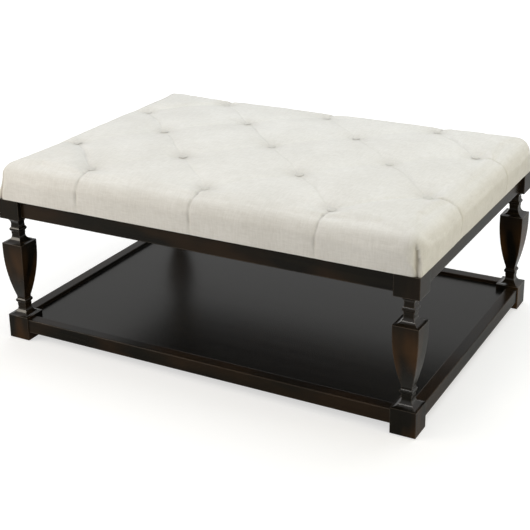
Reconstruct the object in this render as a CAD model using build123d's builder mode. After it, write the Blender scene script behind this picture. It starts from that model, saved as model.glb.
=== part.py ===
from build123d import *
import os
from math import atan, cos, radians, sin, sqrt, tan

# Ottoman coffee table: a tufted cushion on a frame of four square moulded legs, with a framed shelf.
# Millimetres, +Z up. The origin is on the floor under the middle of the table. +X runs along its
# length to the right, and -Y is the front.

# Overall
table_length = 1100  # over the outer faces of the leg blocks
table_depth = 790
leg_height = 375  # floor to the top of the legs
cut_overrun = 2  # how far a cut runs past the face that it opens
fit_clearance = 0.1  # round a tenon, dowel or screw in its hole
slim_sides = 6  # flats round dowels, bolts, screws, twines and their holes
stout_sides = 10  # flats round glides, washers, buttons and the pits of the tufts

# Legs: one outline on all four faces, from the foot block up to the top block
leg_width = 60
neck_width = 24
bead_width = 30
foot_block_height = 61
cove_height = 23
lower_neck_height = 7.5
bead_height = 11.5
vase_neck_height = 4
shoulder_height = 16.5
upper_neck_height = 5
top_neck_height = 4
top_block_height = 50
leg_arris = 0.8
bolt_flat_leg = 10  # the inner corner of the top block is cut off by this much on each face

# Glides under the legs
glide_diameter = 22
glide_height = 3
glide_edge = 1
glide_nail_diameter = 2.5
glide_nail_length = 16

# Aprons between the top blocks
apron_height = 45
apron_thickness = 20
apron_setback = 11.5
apron_arris = 1.2
dowel_diameter = 8
dowel_length = 36
dowel_spacing = 22

# Corner blocks, their bolts and the screws
corner_block_thickness = 22
corner_block_height = 40
bolt_diameter = 8
bolt_hole_diameter = 9  # through the corner block
bolt_bite = 28  # into the leg
bolt_spare = 4  # past the nut
washer_diameter = 20
washer_thickness = 1.6
nut_width = 13
nut_height = 6.5
screw_diameter = 4.5
screw_head_diameter = 9
screw_head_height = 3
corner_screw_bite = 13  # into the apron
corner_screw_seat_share = 0.6  # of the wood that the screw crosses in the corner block
top_screw_recess = 12
top_screw_bite = 11  # into the seat board
top_screw_aside = 20  # from the bolt, along the corner block

# Cleats along the long aprons
cleat_length = 600
cleat_width = 18
cleat_height = 18
cleat_side_screw_pitch = 240
cleat_top_screw_pitch = 260

# Shelf
rail_width = 29
rail_height = 34
rail_setback = 3
rail_lift = 25  # floor to the underside of the rails
rail_arris = 1.5
rail_tenon_length = 25
rail_tenon_height = 24
rail_tenon_thickness = 10
panel_recess = 9.5  # top of the panel below the top of the rails
panel_thickness = 12
panel_tongue = 7.5
groove_depth = 8
panel_notch_clearance = 0.3
batten_width = 60
batten_thickness = 12
batten_tenon_length = 8
batten_tenon_width = 40
batten_tenon_thickness = 6
batten_screw_pitch = 240
batten_screw_bite = 8  # into the panel
batten_screw_recess = 4

# Cushion: the board, the foam, and the cover with its wadding
cover_thickness = 1.5  # the cloth where it is turned under the board
cover_margin = 62  # of cloth turned under, in from the faces of the legs
wadding_thickness = 14  # cloth and wadding over the top and down the faces
board_thickness = 15
board_corner_cut = 8
cushion_height = 94  # underside to where the face and the crown would meet
cushion_crown = 12
cushion_edge_radius = 36
cushion_swell = 2  # the face stands out by this much from its foot
corner_foot_square = 6  # how far the foot of a corner stays in from a square one
corner_lap = 0.4  # the rounding of a corner crosses the faces by this much
dust_cover_thickness = 0.8
dust_cover_gap = 1.5

# Tufts in five staggered rows, of three and of four by turns
tuft_counts = (3, 4, 3, 4, 3)
tuft_end_margin = 76  # from the last tufts of the longer rows to the faces of the legs
tuft_side_margin = 73  # from the outer rows to the faces of the legs
tuft_depth = 11
tuft_seat_radius = 12
tuft_pit_radius = 46
valley_depth = 4
valley_half_width = 22
pleat_depth = 6
pleat_half_width = 3
pleat_length = 70  # down the face from the edge
pleat_run_out = 2  # the foot of the pleat line stands out of the face by this much
tuck_depth = 5
tuck_half_width = 3
tuck_height = 62
tuck_inset = 15  # from the corner of the cushion
button_diameter = 21
button_rim = 1.5
button_height = 6.5
twine_diameter = 2
twine_hole_diameter = 3
knot_diameter = 7
knot_height = 1.2

# Levels and places that follow
half_length = table_length / 2
half_depth = table_depth / 2
leg_axis_x = half_length - leg_width / 2
leg_axis_y = half_depth - leg_width / 2
apron_middle_setback = apron_setback + apron_thickness / 2
apron_inner_setback = apron_setback + apron_thickness
apron_level = leg_height - apron_height / 2
rail_middle_setback = rail_setback + rail_width / 2
rail_inner_setback = rail_setback + rail_width
rail_level = rail_lift + rail_height / 2
panel_top = rail_lift + rail_height - panel_recess
panel_bottom = panel_top - panel_thickness
board_bottom = leg_height + cover_thickness
board_top = board_bottom + board_thickness
bolt_level = leg_height - corner_block_height / 2
bolt_flat_offset = (leg_width - bolt_flat_leg) / sqrt(2)  # from the leg's axis, on the diagonal
block_back_offset = bolt_flat_offset + corner_block_thickness
cushion_shoulder = leg_height + cushion_height - cushion_edge_radius
cushion_corner_x = half_length + cushion_swell - cushion_edge_radius
cushion_corner_y = half_depth + cushion_swell - cushion_edge_radius
crown_slope = 2 * atan(cushion_crown / cushion_corner_y)  # where the crown meets the edge
tuft_pitch = (table_length - 2 * tuft_end_margin) / (max(tuft_counts) - 1)
tuft_row_pitch = (table_depth - 2 * tuft_side_margin) / (len(tuft_counts) - 1)

from_below = (Align.CENTER, Align.CENTER, Align.MIN)
from_corner = (Align.MIN, Align.MIN, Align.MIN)
upwards = Vector(0, 0, 1)
sides = {"front": (0, -1), "rear": (0, 1), "left": (-1, 0), "right": (1, 0)}
corners = {
    "front_left": (-1, -1),
    "front_right": (1, -1),
    "rear_left": (-1, 1),
    "rear_right": (1, 1),
}
os.makedirs("parts", exist_ok=True)


def keep(piece, name):
    piece.part.label = name
    export_step(piece.part, f"parts/{name}.step")


# A plane on one side of the table: x along the side, y up, z outwards
def side_plane(side, setback, level):
    out_x, out_y = sides[side]
    middle = (out_x * (half_length - setback), out_y * (half_depth - setback), level)
    return Plane(origin=middle, x_dir=(-out_y, out_x, 0), z_dir=(out_x, out_y, 0))


# A plane across the middle of one side: x outwards, y up
def section_plane(side, setback, level):
    outwards = side_plane(side, setback, level).z_dir
    middle = side_plane(side, setback, level).origin
    return Plane(origin=middle, x_dir=outwards, z_dir=outwards.cross(upwards))


# The run of one side between the leg blocks
def side_run(side):
    overall = table_depth if side in ("left", "right") else table_length
    return overall - 2 * leg_width


# A plane on a leg's axis: x along the diagonal to the middle of the table, z up
def corner_plane(corner, level):
    side_x, side_y = corners[corner]
    axis = (side_x * leg_axis_x, side_y * leg_axis_y, level)
    return Plane(origin=axis, x_dir=(-side_x, -side_y, 0), z_dir=upwards)


# A plane at a point given in another plane, facing a direction of the table
def faced(plane, point, direction, x_dir=None):
    return Plane(origin=plane.from_local_coords(point), x_dir=x_dir, z_dir=direction)


# Places of the dowels and tenons
dowel_places = []
rail_tenon_places = {side: [] for side in sides}
for side in sides:
    apron_middle = side_plane(side, apron_middle_setback, apron_level)
    rail_middle = side_plane(side, rail_middle_setback, rail_level)
    for end in (-1, 1):
        leg_face = end * side_run(side) / 2
        for step in (-1, 1):
            dowel_middle = (leg_face, step * dowel_spacing / 2, 0)
            dowel_places.append(faced(apron_middle, dowel_middle, apron_middle.x_dir))
        rail_tenon = faced(rail_middle, (leg_face, 0, 0), rail_middle.x_dir * end, upwards)
        rail_tenon_places[side].append(rail_tenon)
batten_level = panel_bottom - batten_thickness / 2
batten_tenon_places = [
    side_plane(side, rail_inner_setback, batten_level) for side in ("front", "rear")
]

# Places of the bolts, screws and glides, with the screws' planes under their heads
bolt_places = []
top_screw_places = []
corner_screw_places = []
glide_places = []
inner_face_offset = apron_inner_setback - leg_width / 2  # of the aprons, in from the leg's axis
corner_screw_seat = corner_screw_seat_share * corner_block_thickness / sqrt(2)
corner_screw_along = (bolt_flat_offset + block_back_offset) / sqrt(2) - inner_face_offset
corner_screw_across = inner_face_offset + corner_screw_seat
for corner, (side_x, side_y) in corners.items():
    bolt_line = corner_plane(corner, bolt_level)
    bolt_places.append(faced(bolt_line, (bolt_flat_offset, 0, 0), bolt_line.x_dir))
    block_foot = corner_plane(corner, leg_height - corner_block_height + top_screw_recess)
    block_middle = (bolt_flat_offset + block_back_offset) / 2
    top_screw_places.append(faced(block_foot, (block_middle, top_screw_aside, 0), upwards))
    for towards, in_x, in_y in (
        ((0, side_y, 0), corner_screw_along, corner_screw_across),
        ((side_x, 0, 0), corner_screw_across, corner_screw_along),
    ):
        seat = (side_x * (leg_axis_x - in_x), side_y * (leg_axis_y - in_y), bolt_level)
        corner_screw_places.append(Plane(origin=seat, z_dir=towards))
    glide_places.append(Plane((side_x * leg_axis_x, side_y * leg_axis_y, 0)))

cleat_side_screw_places = []
cleat_top_screw_places = []
for side in ("front", "rear"):
    cleat_face = side_plane(side, apron_inner_setback + cleat_width, leg_height)
    for step in (-1, 0, 1):
        seat = (step * cleat_side_screw_pitch, -cleat_height / 2, 0)
        cleat_side_screw_places.append(faced(cleat_face, seat, cleat_face.z_dir))
    for step in (-1, 1):
        seat = (step * cleat_top_screw_pitch / 2, -cleat_height, cleat_width / 2)
        cleat_top_screw_places.append(faced(cleat_face, seat, upwards))
batten_foot = Plane.XY.offset(panel_bottom - batten_thickness + batten_screw_recess)
batten_screw_places = [
    faced(batten_foot, (0, step * batten_screw_pitch, 0), upwards) for step in (-1, 0, 1)
]

corner_screw_length = corner_screw_seat + corner_screw_bite
cleat_side_screw_length = cleat_width + corner_screw_bite
cleat_top_screw_length = cleat_height + cover_thickness + top_screw_bite
top_screw_length = corner_block_height - top_screw_recess + cover_thickness + top_screw_bite
batten_screw_length = batten_thickness - batten_screw_recess + batten_screw_bite


# A plane that touches the crown of the cushion above a point of the plan
def crown_plane(x, y):
    turn_rise = cushion_edge_radius * cos(crown_slope)
    touching = []
    for offset, corner_offset, tilt in (
        (x, cushion_corner_x, Vector(x, 0, 0)),
        (y, cushion_corner_y, Vector(0, y, 0)),
    ):
        radius = corner_offset / sin(crown_slope) + cushion_edge_radius
        centre_level = cushion_shoulder + turn_rise - radius * cos(crown_slope)
        rise = sqrt(radius**2 - offset**2)
        touching.append(Plane(origin=(x, y, centre_level + rise), z_dir=tilt + upwards * rise))
    return min(touching, key=lambda plane: plane.origin.Z)


tuft_rows = []
for row, count in enumerate(tuft_counts):
    tuft_y = (row - (len(tuft_counts) - 1) / 2) * tuft_row_pitch
    tuft_rows.append([((place - (count - 1) / 2) * tuft_pitch, tuft_y) for place in range(count)])
tuft_planes = [crown_plane(x, y) for row in tuft_rows for x, y in row]
tuft_seats = [plane.offset(-tuft_depth) for plane in tuft_planes]


# A rod with flat sides, along z from one level to another
def rod(diameter, start, end, side_count=slim_sides):
    with BuildPart() as piece:
        with BuildSketch(Plane.XY.offset(start)):
            RegularPolygon(diameter / 2, side_count)
        extrude(amount=end - start)
    return piece.part


# Holes for rods, each wider and deeper than its rod by the clearance
def bores(places, diameter, start, end):
    with BuildPart() as holes:
        with Locations(*places):
            add(rod(diameter + 2 * fit_clearance, start, end))
    return holes.part


# Screws, each in a plane that lies under its head
def screws(places, length):
    with BuildPart() as group:
        with Locations(*places):
            add(rod(screw_diameter, 0, length))
            add(rod(screw_head_diameter, -screw_head_height, 0))
    return group


# The holes that take screws: one for the shank, and one that lets the head in if it sinks
def screw_holes(places, length, sink=0):
    with BuildPart() as holes:
        add(bores(places, screw_diameter, 0, length + fit_clearance))
        if sink:
            add(bores(places, screw_head_diameter, -sink, 0))
    return holes.part


dowel_end = dowel_length / 2 + fit_clearance
dowel_bores = bores(dowel_places, dowel_diameter, -dowel_end, dowel_end)
bolt_bores = bores(bolt_places, bolt_diameter, -bolt_bite - fit_clearance, 0)
block_bores = bores(bolt_places, bolt_hole_diameter, 0, corner_block_thickness)
corner_screw_bores = screw_holes(
    corner_screw_places, corner_screw_length, corner_block_thickness + cut_overrun
)
cleat_side_screw_bores = screw_holes(cleat_side_screw_places, cleat_side_screw_length)
cleat_top_screw_bores = screw_holes(cleat_top_screw_places, cleat_top_screw_length)
top_screw_bores = screw_holes(top_screw_places, top_screw_length, top_screw_recess + cut_overrun)
batten_screw_bores = screw_holes(
    batten_screw_places, batten_screw_length, batten_screw_recess + cut_overrun
)


# Legs
def leg_outline():
    block = leg_width / 2
    neck = neck_width / 2
    bead = bead_width / 2
    foot_top = glide_height + foot_block_height
    lower_neck = foot_top + cove_height
    lower_bead = lower_neck + lower_neck_height
    vase_neck = lower_bead + bead_height
    vase = vase_neck + vase_neck_height
    block_foot = leg_height - top_block_height
    top_neck = block_foot - cove_height
    upper_bead_top = top_neck - top_neck_height
    upper_bead = upper_bead_top - bead_height
    upper_neck = upper_bead - upper_neck_height
    shoulder_top = upper_neck - cove_height
    shoulder = shoulder_top - shoulder_height
    with BuildSketch() as outline:
        with BuildLine():
            Line((0, glide_height), (block, glide_height))
            Line((block, glide_height), (block, foot_top))
            TangentArc((block, foot_top), (neck, lower_neck), tangent=(-1, 0))
            Line((neck, lower_neck), (neck, lower_bead))
            ThreePointArc((neck, lower_bead), (bead, lower_bead + bead_height / 2), (neck, vase_neck))
            Line((neck, vase_neck), (neck, vase))
            TangentArc((block, shoulder), (neck, vase), tangent=(0, -1))
            Line((block, shoulder), (block, shoulder_top))
            TangentArc((block, shoulder_top), (neck, upper_neck), tangent=(-1, 0))
            Line((neck, upper_neck), (neck, upper_bead))
            ThreePointArc(
                (neck, upper_bead), (bead, upper_bead + bead_height / 2), (neck, upper_bead_top)
            )
            Line((neck, upper_bead_top), (neck, top_neck))
            TangentArc((block, block_foot), (neck, top_neck), tangent=(-1, 0))
            Line((block, block_foot), (block, leg_height))
            Line((block, leg_height), (0, leg_height))
            mirror(about=Plane.YZ)
        make_face()
    return outline.sketch


# Whether an upright edge of a leg lies at the inner corner of its top block
def at_bolt(edge, corner):
    place = corner_plane(corner, 0).to_local_coords(edge.center())
    return place.X > leg_width / 2 and place.Z > leg_height - top_block_height


moulded_outline = leg_outline()
nail_end = glide_height + glide_nail_length
nail_bores = bores(glide_places, glide_nail_diameter, glide_height, nail_end + fit_clearance)
for corner, (side_x, side_y) in corners.items():
    leg_foot = (side_x * leg_axis_x, side_y * leg_axis_y, 0)
    with BuildPart() as leg:
        with BuildSketch(Plane(leg_foot, x_dir=(1, 0, 0), z_dir=(0, -1, 0))):
            add(moulded_outline)
        extrude(amount=leg_width, both=True)
        with BuildSketch(Plane(leg_foot, x_dir=(0, 1, 0), z_dir=(1, 0, 0))):
            add(moulded_outline)
        extrude(amount=leg_width, both=True, mode=Mode.INTERSECT)
        uprights = leg.edges().filter_by(Axis.Z)
        chamfer(uprights.filter_by(lambda edge: at_bolt(edge, corner)), bolt_flat_leg)
        block_arrises = leg.edges().filter_by(Axis.Z).filter_by(
            lambda edge: edge.length > shoulder_height - leg_arris and not at_bolt(edge, corner)
        )
        chamfer(block_arrises, leg_arris)
        add(dowel_bores, mode=Mode.SUBTRACT)
        for side in sides:
            with Locations(*rail_tenon_places[side]):
                Box(
                    rail_tenon_height + 2 * fit_clearance,
                    rail_tenon_thickness + 2 * fit_clearance,
                    rail_tenon_length + fit_clearance,
                    align=from_below,
                    mode=Mode.SUBTRACT,
                )
        add(bolt_bores, mode=Mode.SUBTRACT)
        add(nail_bores, mode=Mode.SUBTRACT)
    keep(leg, f"leg_{corner}")

for corner, place in zip(corners, glide_places):
    with BuildPart() as glide:
        with Locations(place):
            add(rod(glide_diameter, 0, glide_height, stout_sides))
        chamfer(glide.edges().group_by(Axis.Z)[0], glide_edge)
        with Locations(place):
            add(rod(glide_nail_diameter, glide_height, nail_end))
    keep(glide, f"foot_glide_{corner}")

# Aprons and their dowels
for side in sides:
    with BuildPart() as apron:
        with BuildSketch(section_plane(side, apron_middle_setback, apron_level)) as section:
            Rectangle(apron_thickness, apron_height)
            chamfer(section.vertices().group_by(Axis.Y)[0], apron_arris)
        extrude(amount=side_run(side) / 2, both=True)
        add(dowel_bores, mode=Mode.SUBTRACT)
        add(corner_screw_bores, mode=Mode.SUBTRACT)
        add(cleat_side_screw_bores, mode=Mode.SUBTRACT)
    keep(apron, f"apron_{side}")

with BuildPart() as dowels:
    with Locations(*dowel_places):
        add(rod(dowel_diameter, -dowel_length / 2, dowel_length / 2))
keep(dowels, "apron_dowels")

# Corner blocks with their bolts, washers, nuts and screws
for corner in corners:
    with BuildPart() as corner_block:
        with BuildSketch(corner_plane(corner, leg_height - corner_block_height)):
            front = bolt_flat_offset
            back = block_back_offset
            front_half = front - inner_face_offset * sqrt(2)
            back_half = back - inner_face_offset * sqrt(2)
            Polygon(
                (front, -front_half), (back, -back_half), (back, back_half), (front, front_half),
                align=None,
            )
        extrude(amount=corner_block_height)
        add(block_bores, mode=Mode.SUBTRACT)
        add(corner_screw_bores, mode=Mode.SUBTRACT)
        add(top_screw_bores, mode=Mode.SUBTRACT)
    keep(corner_block, f"corner_block_{corner}")

washer_end = corner_block_thickness + washer_thickness
nut_end = washer_end + nut_height
with BuildPart() as bolts:
    with Locations(*bolt_places):
        add(rod(bolt_diameter, -bolt_bite, nut_end + bolt_spare))
keep(bolts, "hanger_bolts")

with BuildPart() as washers:
    with Locations(*bolt_places):
        add(rod(washer_diameter, corner_block_thickness, washer_end, stout_sides))
    add(bores(bolt_places, bolt_diameter, 0, nut_end), mode=Mode.SUBTRACT)
keep(washers, "bolt_washers")

with BuildPart() as nuts:
    with BuildSketch(*[place.offset(washer_end) for place in bolt_places]):
        RegularPolygon(nut_width / 2, side_count=6, major_radius=False)
    extrude(amount=nut_height)
    add(bores(bolt_places, bolt_diameter, 0, nut_end), mode=Mode.SUBTRACT)
keep(nuts, "bolt_nuts")

keep(screws(corner_screw_places, corner_screw_length), "corner_block_screws")
keep(screws(top_screw_places, top_screw_length), "top_fixing_screws")

# Cleats and their screws
for side in ("front", "rear"):
    with BuildPart() as cleat:
        middle_setback = apron_inner_setback + cleat_width / 2
        with BuildSketch(section_plane(side, middle_setback, leg_height - cleat_height / 2)):
            Rectangle(cleat_width, cleat_height)
        extrude(amount=cleat_length / 2, both=True)
        add(cleat_side_screw_bores, mode=Mode.SUBTRACT)
        add(cleat_top_screw_bores, mode=Mode.SUBTRACT)
    keep(cleat, f"cleat_{side}")

with BuildPart() as cleat_screws:
    add(screws(cleat_side_screw_places, cleat_side_screw_length).part)
    add(screws(cleat_top_screw_places, cleat_top_screw_length).part)
keep(cleat_screws, "cleat_screws")

# Shelf rails, with a groove for the panel and stub tenons into the foot blocks
for side in sides:
    with BuildPart() as rail:
        with BuildSketch(section_plane(side, rail_middle_setback, rail_level)) as section:
            Rectangle(rail_width, rail_height)
            fillet(section.vertices().group_by(Axis.Y)[-1], rail_arris)
            with Locations((-rail_width / 2, panel_top - rail_level)):
                Rectangle(
                    2 * groove_depth,
                    panel_thickness,
                    align=(Align.CENTER, Align.MAX),
                    mode=Mode.SUBTRACT,
                )
        extrude(amount=side_run(side) / 2, both=True)
        with Locations(*rail_tenon_places[side]):
            Box(rail_tenon_height, rail_tenon_thickness, rail_tenon_length, align=from_below)
        with Locations(*batten_tenon_places):
            Box(
                batten_tenon_width + 2 * fit_clearance,
                batten_tenon_thickness + 2 * fit_clearance,
                batten_tenon_length + fit_clearance,
                align=from_below,
                mode=Mode.SUBTRACT,
            )
    keep(rail, f"shelf_rail_{side}")

# Shelf panel, notched round the foot blocks, and the batten under it
with BuildPart() as panel:
    reach = rail_inner_setback - panel_tongue
    notch = leg_width + panel_notch_clearance - reach
    panel_half_length = half_length - reach
    panel_half_depth = half_depth - reach
    with BuildSketch(Plane.XY.offset(panel_bottom)):
        Rectangle(2 * panel_half_length, 2 * panel_half_depth)
        with GridLocations(2 * panel_half_length, 2 * panel_half_depth, 2, 2):
            Rectangle(2 * notch, 2 * notch, mode=Mode.SUBTRACT)
    extrude(amount=panel_thickness)
    add(batten_screw_bores, mode=Mode.SUBTRACT)
keep(panel, "shelf_panel")

with BuildPart() as batten:
    with Locations((0, 0, batten_level)):
        Box(batten_width, 2 * (half_depth - rail_inner_setback), batten_thickness)
    with Locations(*batten_tenon_places):
        Box(batten_tenon_width, batten_tenon_thickness, batten_tenon_length, align=from_below)
    add(batten_screw_bores, mode=Mode.SUBTRACT)
keep(batten, "shelf_batten")
keep(screws(batten_screw_places, batten_screw_length), "batten_screws")

# Seat board on the turned-in cloth, drilled for the twines and the screws
twine_places = [Plane((seat.origin.X, seat.origin.Y, board_bottom)) for seat in tuft_seats]
twine_lengths = [seat.origin.Z - board_bottom for seat in tuft_seats]
with BuildPart() as twine_bores:
    for place, length in zip(twine_places, twine_lengths):
        with Locations(place):
            add(rod(twine_hole_diameter, 0, length + cut_overrun))

with BuildPart() as board:
    with BuildSketch(Plane.XY.offset(board_bottom)) as board_plan:
        Rectangle(2 * (half_length - wadding_thickness), 2 * (half_depth - wadding_thickness))
        chamfer(board_plan.vertices(), board_corner_cut)
    extrude(amount=board_thickness)
    add(twine_bores.part, mode=Mode.SUBTRACT)
    add(top_screw_bores, mode=Mode.SUBTRACT)
    add(cleat_top_screw_bores, mode=Mode.SUBTRACT)
keep(board, "seat_board")


# The cushion's outline across one direction: drawn-in foot, rounded edge, crown
def cushion_outline(half_width, inset, foot):
    face = half_width + cushion_swell - inset
    radius = cushion_edge_radius - inset
    turn_in = face - radius
    turn = (turn_in + radius * sin(crown_slope), cushion_shoulder + radius * cos(crown_slope))
    middle = (turn_in + radius * cos(radians(45)), cushion_shoulder + radius * sin(radians(45)))
    top = turn[0] * tan(crown_slope / 2) + turn[1]
    with BuildSketch() as outline:
        with BuildLine():
            Line((0, foot), (half_width - inset, foot))
            TangentArc((face, cushion_shoulder), (half_width - inset, foot), tangent=(0, -1))
            ThreePointArc((face, cushion_shoulder), middle, turn)
            TangentArc(turn, (0, top), tangent=(-cos(crown_slope), sin(crown_slope)))
            mirror(about=Plane.YZ)
        make_face()
    return outline.sketch


# What is cut off at the four corners: they are rounded above, and nearly square at the foot
def corner_waste():
    radius = cushion_edge_radius + corner_lap
    foot_radius = cushion_edge_radius * sqrt(2) - corner_foot_square
    top = cushion_shoulder + 2 * cushion_height
    corner = (cushion_corner_x, cushion_corner_y, 0)
    slant = radius * cos(radians(45))
    turn = (radius * sin(crown_slope), cushion_shoulder + radius * cos(crown_slope))
    with BuildPart() as waste:
        with Locations((cushion_corner_x, cushion_corner_y, leg_height - cut_overrun)):
            Box(
                2 * cushion_edge_radius,
                2 * cushion_edge_radius,
                2 * cushion_height,
                align=from_corner,
            )
        with BuildSketch(Plane(corner, x_dir=(1, 0, 0), z_dir=(0, -1, 0))):
            with BuildLine():
                Polyline(
                    turn,
                    (turn[0], top),
                    (0, top),
                    (0, leg_height - 2 * cut_overrun),
                    (foot_radius, leg_height - 2 * cut_overrun),
                    (radius, cushion_shoulder),
                )
                ThreePointArc((radius, cushion_shoulder), (slant, cushion_shoulder + slant), turn)
            make_face()
        revolve(axis=Axis(corner, (0, 0, 1)), mode=Mode.SUBTRACT)
        mirror(about=Plane.YZ)
        mirror(about=Plane.XZ)
    return waste.part


# The cushion's form with square corners, this far inside its outer face
def cushion_form(inset, foot):
    with BuildPart() as form:
        with BuildSketch(Plane.XZ):
            add(cushion_outline(half_length, inset, foot))
        extrude(amount=table_depth, both=True)
        with BuildSketch(Plane.YZ):
            add(cushion_outline(half_depth, inset, foot))
        extrude(amount=table_length, both=True, mode=Mode.INTERSECT)
    return form.part


# The pit at a tuft: a flat seat for the button, and folded slopes that leave the crown at the rim
def tuft_pit():
    rim_radius = 2 * tuft_pit_radius - tuft_seat_radius
    slope_run = (rim_radius - tuft_seat_radius) * cos(radians(180 / stout_sides))
    with BuildPart() as pit:
        add(rod(2 * rim_radius, -tuft_depth, tuft_depth + cut_overrun, stout_sides))
        seat = pit.faces().sort_by(Axis.Z)[0]
        chamfer(seat.edges(), slope_run, 2 * tuft_depth, reference=seat)
    return pit.part


# A V between two neighbouring tufts, as deep at its middle as the valley is
def valley(start_place, end_place):
    start = crown_plane(*start_place).origin
    end = crown_plane(*end_place).origin
    run = end - start
    middle = crown_plane((start.X + end.X) / 2, (start.Y + end.Y) / 2)
    lift = middle.origin - (start + end) / 2
    with BuildPart() as tool:
        with BuildSketch(Plane(start + lift, x_dir=middle.z_dir.cross(run), z_dir=run)):
            Polygon(
                (0, -valley_depth),
                (2 * valley_half_width, valley_depth),
                (-2 * valley_half_width, valley_depth),
                align=None,
            )
        extrude(amount=run.length)
    return tool.part


# A V from a tuft out over the edge, running out down the face
def pleat(tuft_place, out_x, out_y):
    outwards = Vector(out_x, out_y, 0)
    tuft = Vector(*tuft_place)
    start = tuft.dot(outwards)
    face = cushion_edge_radius + (cushion_corner_x if out_x else cushion_corner_y)
    edge = leg_height + cushion_height
    side = Plane(tuft - outwards * start, x_dir=outwards, z_dir=outwards.cross(upwards))
    with BuildPart() as tool:
        with BuildLine(side) as route:
            FilletPolyline(
                (start, crown_plane(*tuft_place).origin.Z - pleat_depth),
                (face - pleat_depth, edge - pleat_depth),
                (face + pleat_run_out, edge - pleat_length),
                radius=cushion_edge_radius - pleat_depth,
            )
        with BuildSketch(Plane(route.line @ 0, x_dir=side.z_dir, z_dir=route.line % 0)):
            Polygon(
                (0, 0),
                (2 * pleat_half_width, -2 * pleat_depth),
                (-2 * pleat_half_width, -2 * pleat_depth),
                align=None,
            )
        sweep()
    return tool.part


# An upright V in the front and rear faces, where the cloth is tucked in beside a corner
def corner_tucks():
    with BuildPart() as tool:
        with BuildSketch(Plane.XY.offset(leg_height - cut_overrun)):
            tuck_x = half_length - tuck_inset
            Polygon(
                (tuck_x, half_depth - tuck_depth),
                (tuck_x + 2 * tuck_half_width, half_depth + tuck_depth),
                (tuck_x - 2 * tuck_half_width, half_depth + tuck_depth),
                align=None,
            )
            mirror(about=Plane.YZ)
            mirror(about=Plane.XZ)
        extrude(amount=tuck_height + cut_overrun)
    return tool.part


# Cover: cloth with its wadding, pulled down at the tufts and turned under the board
foam_form = cushion_form(wadding_thickness, board_bottom)
with BuildPart() as cover:
    add(cushion_form(0, leg_height))
    add(corner_waste(), mode=Mode.SUBTRACT)
    with Locations(*tuft_planes):
        add(tuft_pit(), mode=Mode.SUBTRACT)
    for row, next_row in zip(tuft_rows, tuft_rows[1:]):
        for place in row:
            for next_place in next_row:
                if abs(next_place[0] - place[0]) < tuft_pitch:
                    add(valley(place, next_place), mode=Mode.SUBTRACT)
    for row, out_y in ((tuft_rows[0], -1), (tuft_rows[-1], 1)):
        for place in row:
            add(pleat(place, 0, out_y), mode=Mode.SUBTRACT)
    for row in tuft_rows[1::2]:
        add(pleat(row[0], -1, 0), mode=Mode.SUBTRACT)
        add(pleat(row[-1], 1, 0), mode=Mode.SUBTRACT)
    add(corner_tucks(), mode=Mode.SUBTRACT)
    add(foam_form, mode=Mode.SUBTRACT)
    with Locations((0, 0, leg_height)):
        Box(
            2 * (half_length - cover_margin),
            2 * (half_depth - cover_margin),
            2 * (cover_thickness + cut_overrun),
            mode=Mode.SUBTRACT,
        )
    add(twine_bores.part, mode=Mode.SUBTRACT)
    add(top_screw_bores, mode=Mode.SUBTRACT)
    add(cleat_top_screw_bores, mode=Mode.SUBTRACT)
keep(cover, "tufted_cover")

# Foam above the board, under the cover
with BuildPart() as foam:
    add(foam_form)
    split(bisect_by=Plane.XY.offset(board_top), keep=Keep.TOP)
    add(twine_bores.part, mode=Mode.SUBTRACT)
keep(foam, "foam_pad")

# Covered buttons, and the twines that hold them down, knotted under the board
with BuildPart() as button:
    add(rod(button_diameter, 0, button_height, stout_sides))
    chamfer(button.edges().group_by(Axis.Z)[-1], button_height - button_rim)

with BuildPart() as buttons:
    with Locations(*tuft_seats):
        add(button.part)
keep(buttons, "tuft_buttons")

with BuildPart() as twines:
    for place, length in zip(twine_places, twine_lengths):
        with Locations(place):
            add(rod(twine_diameter, 0, length - fit_clearance))
            add(rod(knot_diameter, -knot_height, 0))
keep(twines, "tufting_twines")

# Dust cover over the underside, inside the cleats and clear of the corner blocks
with BuildPart() as dust_cover:
    cloth_half_length = half_length - apron_inner_setback - dust_cover_gap
    cloth_half_depth = half_depth - apron_inner_setback - cleat_width - dust_cover_gap
    block_line = leg_axis_x + leg_axis_y - (block_back_offset + dust_cover_gap) * sqrt(2)
    with BuildSketch(Plane.XY.offset(leg_height)) as cloth_plan:
        Rectangle(2 * cloth_half_length, 2 * cloth_half_depth)
        chamfer(cloth_plan.vertices(), cloth_half_length + cloth_half_depth - block_line)
    extrude(amount=-dust_cover_thickness)
keep(dust_cover, "dust_cover")
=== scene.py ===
from math import atan, ceil, cos, pi, radians, sin, sqrt, tan

import bmesh
import bpy
import numpy as np
from mathutils import Matrix, Vector


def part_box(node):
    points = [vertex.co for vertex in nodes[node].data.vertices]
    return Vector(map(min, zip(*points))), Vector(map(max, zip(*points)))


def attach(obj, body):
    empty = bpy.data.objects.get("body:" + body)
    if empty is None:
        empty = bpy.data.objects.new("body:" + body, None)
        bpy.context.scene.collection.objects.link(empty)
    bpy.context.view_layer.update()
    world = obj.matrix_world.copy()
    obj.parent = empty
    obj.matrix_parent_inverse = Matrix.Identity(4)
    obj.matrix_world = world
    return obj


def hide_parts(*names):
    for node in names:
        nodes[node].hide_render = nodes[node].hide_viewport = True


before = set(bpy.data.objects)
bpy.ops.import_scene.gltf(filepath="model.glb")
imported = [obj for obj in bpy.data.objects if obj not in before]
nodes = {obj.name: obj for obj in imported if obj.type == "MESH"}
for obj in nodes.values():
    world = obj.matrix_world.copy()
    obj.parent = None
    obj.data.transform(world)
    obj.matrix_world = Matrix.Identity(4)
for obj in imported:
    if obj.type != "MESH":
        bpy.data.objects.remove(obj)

# Looks of the upholstered coffee table, in metres: linen top with sunk buttons, espresso frame, shelf
scene = bpy.context.scene
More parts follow.
